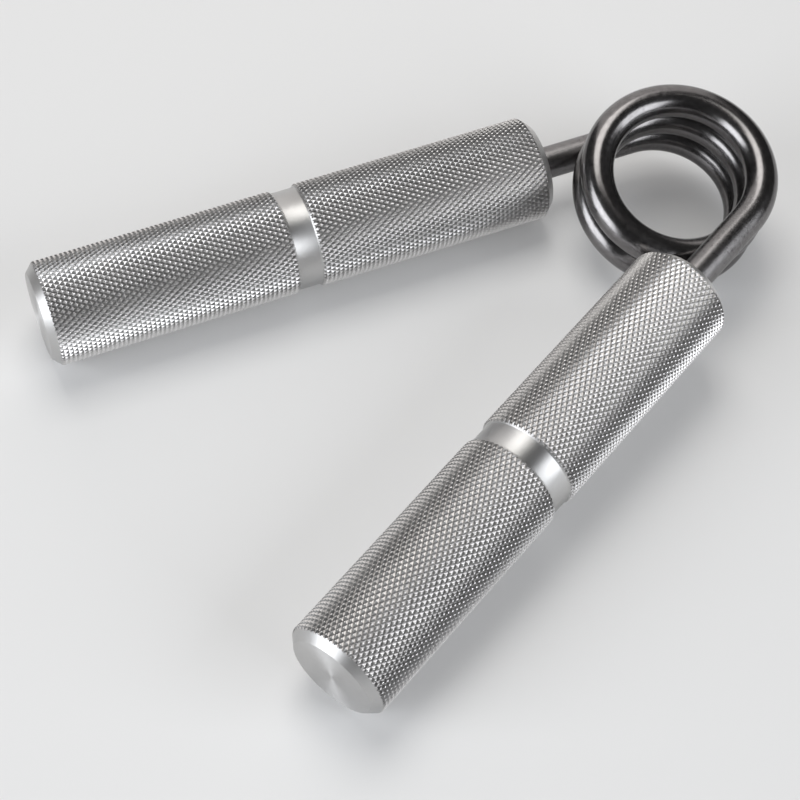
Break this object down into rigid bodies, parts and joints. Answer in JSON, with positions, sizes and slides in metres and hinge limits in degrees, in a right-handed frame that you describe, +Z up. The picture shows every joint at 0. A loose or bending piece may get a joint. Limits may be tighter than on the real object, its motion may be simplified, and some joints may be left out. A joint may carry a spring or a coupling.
{
  "type": "hand grip strengthener",
  "caption": "Torsion-spring hand gripper: knurled aluminium handles with smooth bands on the legs of a black coiled steel wire; squeezing winds the coil and swings one handle to the other.",
  "frame": {"origin": "centre of the whole object's box, on the table that it lies on", "axes": "+Z up from the table; the coil lies towards +Y and the handles' free ends towards -Y; the left handle, at -X, lies along the table"},
  "size_m": [0.1244, 0.1474, 0.0287],
  "materials": {
    "handle_aluminium": "coarse diamond knurl, satin silver; turned band, chamfers and end faces brighter",
    "spring_steel": "black oil-tempered wire, glossy with a faint brown cast and light scuffs"
  },
  "bodies": {
    "left_side": {"left_handle": "handle_aluminium", "left_spring_leg": "spring_steel"},
    "right_side": {"right_handle": "handle_aluminium", "right_spring_leg": "spring_steel"},
    "coil_stretch_1": {"spring_coil_1": "spring_steel"},
    "coil_stretch_2": {"spring_coil_2": "spring_steel"},
    "coil_stretch_3": {"spring_coil_3": "spring_steel"},
    "coil_stretch_4": {"spring_coil_4": "spring_steel"},
    "coil_stretch_5": {"spring_coil_5": "spring_steel"}
  },
  "joints": [
    {"name": "grip_close", "type": "hinge", "parent": "left_side", "child": "right_side", "pos_m": [-0.00183, 0.05321, 0.00617], "axis": [-0.2949, 0.0122, -0.9555], "range_deg": [0, 34], "stiffness_Nm_per_rad": 83},
    {"name": "coil_wind_1", "type": "hinge", "parent": "left_side", "child": "coil_stretch_1", "pos_m": [-0.00183, 0.05321, 0.00617], "axis": [-0.2949, 0.0122, -0.9555], "range_deg": [0, 3.4]},
    {"name": "coil_wind_2", "type": "hinge", "parent": "left_side", "child": "coil_stretch_2", "pos_m": [-0.00183, 0.05321, 0.00617], "axis": [-0.2949, 0.0122, -0.9555], "range_deg": [0, 10.2]},
    {"name": "coil_wind_3", "type": "hinge", "parent": "left_side", "child": "coil_stretch_3", "pos_m": [-0.00183, 0.05321, 0.00617], "axis": [-0.2949, 0.0122, -0.9555], "range_deg": [0, 17]},
    {"name": "coil_wind_4", "type": "hinge", "parent": "left_side", "child": "coil_stretch_4", "pos_m": [-0.00183, 0.05321, 0.00617], "axis": [-0.2949, 0.0122, -0.9555], "range_deg": [0, 23.8]},
    {"name": "coil_wind_5", "type": "hinge", "parent": "left_side", "child": "coil_stretch_5", "pos_m": [-0.00183, 0.05321, 0.00617], "axis": [-0.2949, 0.0122, -0.9555], "range_deg": [0, 30.6]}
  ],
  "couplings": [
    {"joint": "coil_wind_1", "follows": "grip_close", "ratio": 0.1},
    {"joint": "coil_wind_2", "follows": "grip_close", "ratio": 0.3},
    {"joint": "coil_wind_3", "follows": "grip_close", "ratio": 0.5},
    {"joint": "coil_wind_4", "follows": "grip_close", "ratio": 0.7},
    {"joint": "coil_wind_5", "follows": "grip_close", "ratio": 0.9}
  ]
}
